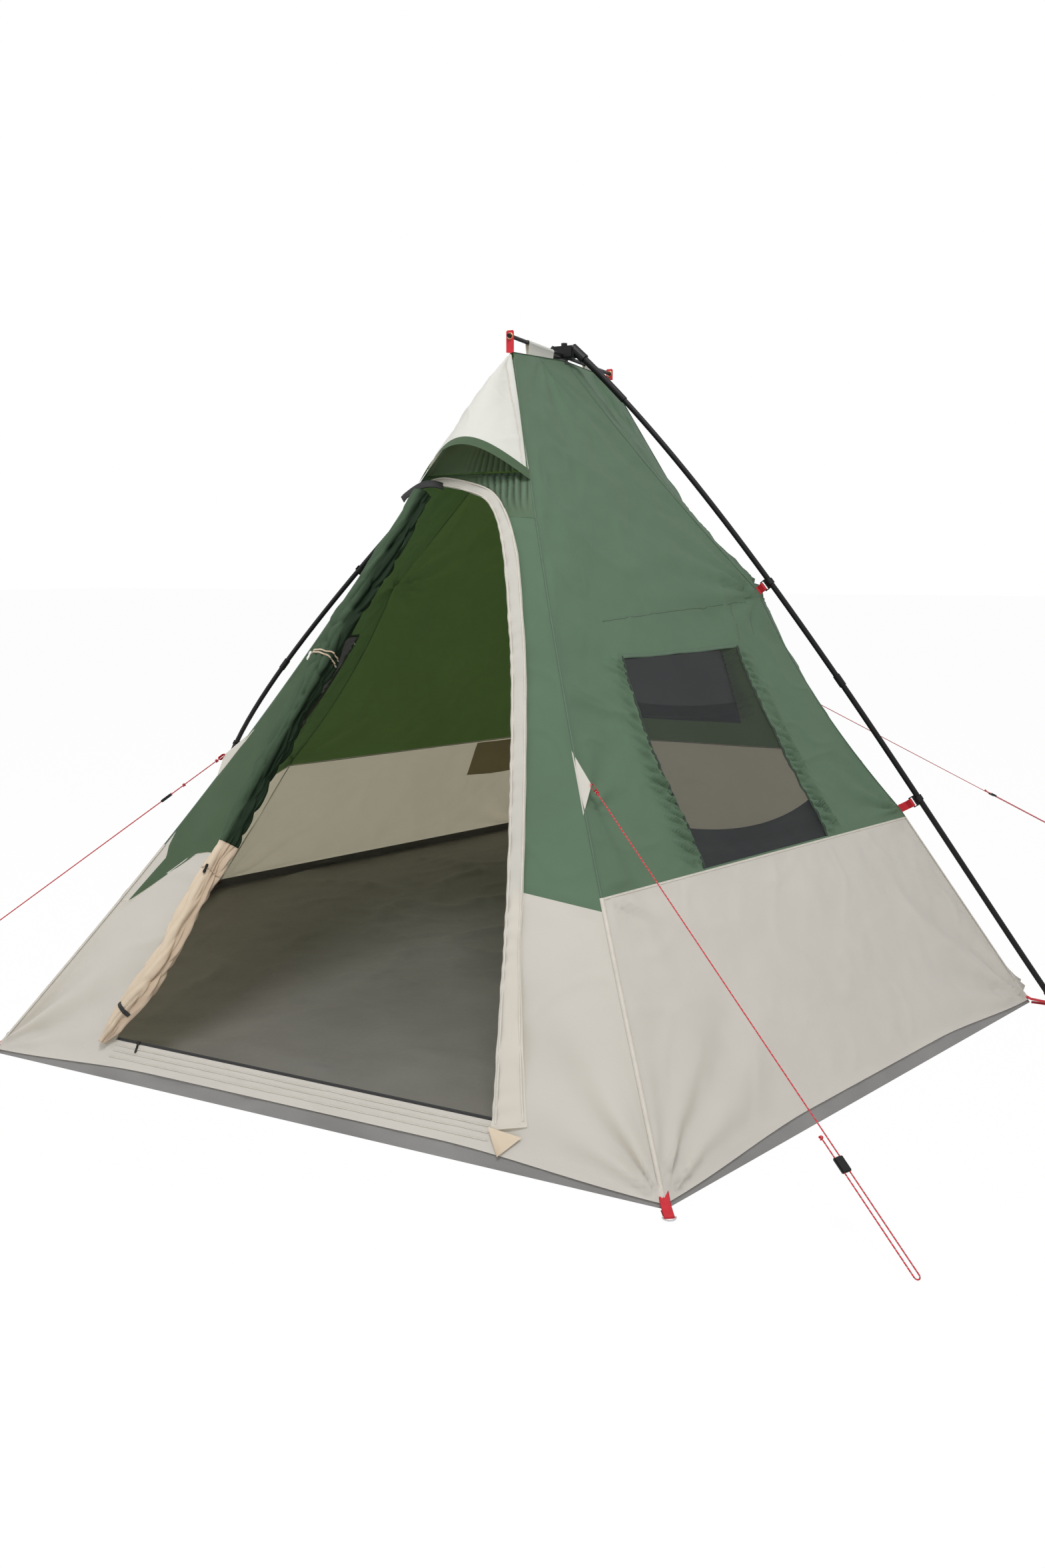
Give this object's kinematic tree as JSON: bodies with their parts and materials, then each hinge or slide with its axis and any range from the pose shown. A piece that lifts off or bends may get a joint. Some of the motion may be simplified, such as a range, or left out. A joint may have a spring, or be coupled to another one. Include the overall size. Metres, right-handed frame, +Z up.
{
  "type": "camping tent",
  "caption": "Six-sided camping tent on bowed outside poles, with a rolled-back door, side windows, a hooded vent and guy-lines.",
  "frame": {"origin": "on the ground under the hub, at the middle of the floor", "axes": "+Z up, +Y along the ridge towards the back, so the door faces -Y; +X to the right of someone who looks at the door"},
  "size_m": [3.224, 4.1694, 2.004],
  "materials": {
    "green_cloth": "coated polyester, semi-matte, fine weave",
    "cream_cloth": "coated polyester, semi-matte, fine weave",
    "dark_green_cloth": "matte woven polyester",
    "olive_cloth": "matte woven polyester",
    "netting": "fine black insect mesh, see-through",
    "groundsheet": "coated tarpaulin weave, semi-matte",
    "red_webbing": "ribbed flat webbing, matte",
    "black_webbing": "ribbed flat webbing, matte",
    "zip_tape": "coil zip on woven tape",
    "rope": "braided red cord with pale and dark flecks",
    "pole_coating": "black satin coating",
    "black_plastic": "moulded nylon, satin",
    "steel_wire": "nickel-plated wire"
  },
  "bodies": {
    "tent": {"door_flap": "cream_cloth", "door_roll_cream": "cream_cloth", "door_roll_green": "green_cloth", "door_tie_lower": "black_webbing", "door_tie_middle": "black_webbing", "door_tie_upper": "black_webbing", "door_zip": "zip_tape", "groundsheet": "groundsheet", "guy_line_back_right": "rope", "guy_line_front_left": "rope", "guy_line_front_right": "rope", "hood": "cream_cloth", "hood_vent": "dark_green_cloth", "hub": "black_plastic", "pole_arm_left": "pole_coating", "pole_arm_right": "pole_coating", "pole_lower_left": "pole_coating", "pole_lower_right": "pole_coating", "pole_tab_left_lower": "red_webbing", "pole_tab_left_upper": "red_webbing", "pole_tab_right_lower": "red_webbing", "pole_tab_right_upper": "red_webbing", "pole_upper_left": "pole_coating", "pole_upper_right": "pole_coating", "ridge_rod": "pole_coating", "ridge_tab_back": "red_webbing", "ridge_tab_front": "red_webbing", "ridge_tape": "green_cloth", "skirt_back": "cream_cloth", "skirt_front": "cream_cloth", "skirt_left_back": "cream_cloth", "skirt_left_front": "cream_cloth", "skirt_right_back": "cream_cloth", "skirt_right_front": "cream_cloth", "wall_back": "green_cloth", "wall_front_arch": "green_cloth", "wall_front_left": "green_cloth", "wall_left_back": "green_cloth", "wall_left_front": "green_cloth", "wall_pocket": "olive_cloth", "wall_right_back": "green_cloth", "wall_right_front": "green_cloth", "window_cover_back": "dark_green_cloth", "window_cover_left_front": "dark_green_cloth", "window_cover_right_front": "dark_green_cloth", "window_net_back": "netting", "window_net_left_front": "netting", "window_net_right_front": "netting"},
    "clip_left_lower": {"clip_left_lower": "black_plastic"},
    "clip_left_upper": {"clip_left_upper": "black_plastic"},
    "clip_right_lower": {"clip_right_lower": "black_plastic"},
    "clip_right_upper": {"clip_right_upper": "black_plastic"},
    "peg_ring_back_left": {"peg_ring_back_left": "steel_wire"},
    "peg_ring_back_right": {"peg_ring_back_right": "steel_wire"},
    "peg_ring_front_left": {"peg_ring_front_left": "steel_wire"},
    "peg_ring_front_right": {"peg_ring_front_right": "steel_wire"},
    "tensioner_back_right": {"tensioner_back_right": "black_plastic"},
    "tensioner_front_left": {"tensioner_front_left": "black_plastic"},
    "tensioner_front_right": {"tensioner_front_right": "black_plastic"},
    "zip_slider": {"zip_slider": "black_plastic"}
  },
  "joints": [
    {"name": "tensioner_slide_front_right", "type": "slide", "parent": "tent", "child": "tensioner_front_right", "axis": [0.6867, -0.413, -0.5982], "range_m": [0, 0.15]},
    {"name": "tensioner_slide_front_left", "type": "slide", "parent": "tent", "child": "tensioner_front_left", "axis": [-0.7039, -0.4036, -0.5846], "range_m": [0, 0.25]},
    {"name": "tensioner_slide_back_right", "type": "slide", "parent": "tent", "child": "tensioner_back_right", "axis": [0.5452, 0.7311, -0.4102], "range_m": [0, 0.25]},
    {"name": "clip_turn_right_upper", "type": "hinge", "parent": "tent", "child": "clip_right_upper", "pos_m": [0.70531, 0, 1.24151], "axis": [0.6176, 0, -0.7865], "range_deg": [-5, 5]},
    {"name": "clip_turn_right_lower", "type": "hinge", "parent": "tent", "child": "clip_right_lower", "pos_m": [1.18755, 0, 0.59325], "axis": [0.5824, 0, -0.8129], "range_deg": [-5, 5]},
    {"name": "clip_turn_left_upper", "type": "hinge", "parent": "tent", "child": "clip_left_upper", "pos_m": [-0.69547, -0.17444, 1.27912], "axis": [-0.6541, -0.1702, -0.737], "range_deg": [-5, 5]},
    {"name": "clip_turn_left_lower", "type": "hinge", "parent": "tent", "child": "clip_left_lower", "pos_m": [-1.2774, -0.15845, 0.62984], "axis": [-0.6126, 0.2063, -0.763], "range_deg": [-5, 5]},
    {"name": "peg_ring_swing_front_left", "type": "hinge", "parent": "tent", "child": "peg_ring_front_left", "pos_m": [-0.97021, -1.65506, 0.0036], "axis": [-0.8627, 0.5057, 0], "range_deg": [0, 70]},
    {"name": "peg_ring_swing_front_right", "type": "hinge", "parent": "tent", "child": "peg_ring_front_right", "pos_m": [0.97021, -1.65506, 0.0036], "axis": [-0.8627, -0.5057, 0], "range_deg": [0, 70]},
    {"name": "peg_ring_swing_back_right", "type": "hinge", "parent": "tent", "child": "peg_ring_back_right", "pos_m": [0.97021, 1.65506, 0.0036], "axis": [0.8627, -0.5057, 0], "range_deg": [0, 70]},
    {"name": "peg_ring_swing_back_left", "type": "hinge", "parent": "tent", "child": "peg_ring_back_left", "pos_m": [-0.97021, 1.65506, 0.0036], "axis": [0.8627, 0.5057, 0], "range_deg": [0, 70]},
    {"name": "zip_slider_run", "type": "slide", "parent": "tent", "child": "zip_slider", "axis": [1, 0, 0], "range_m": [0, 1]}
  ]
}
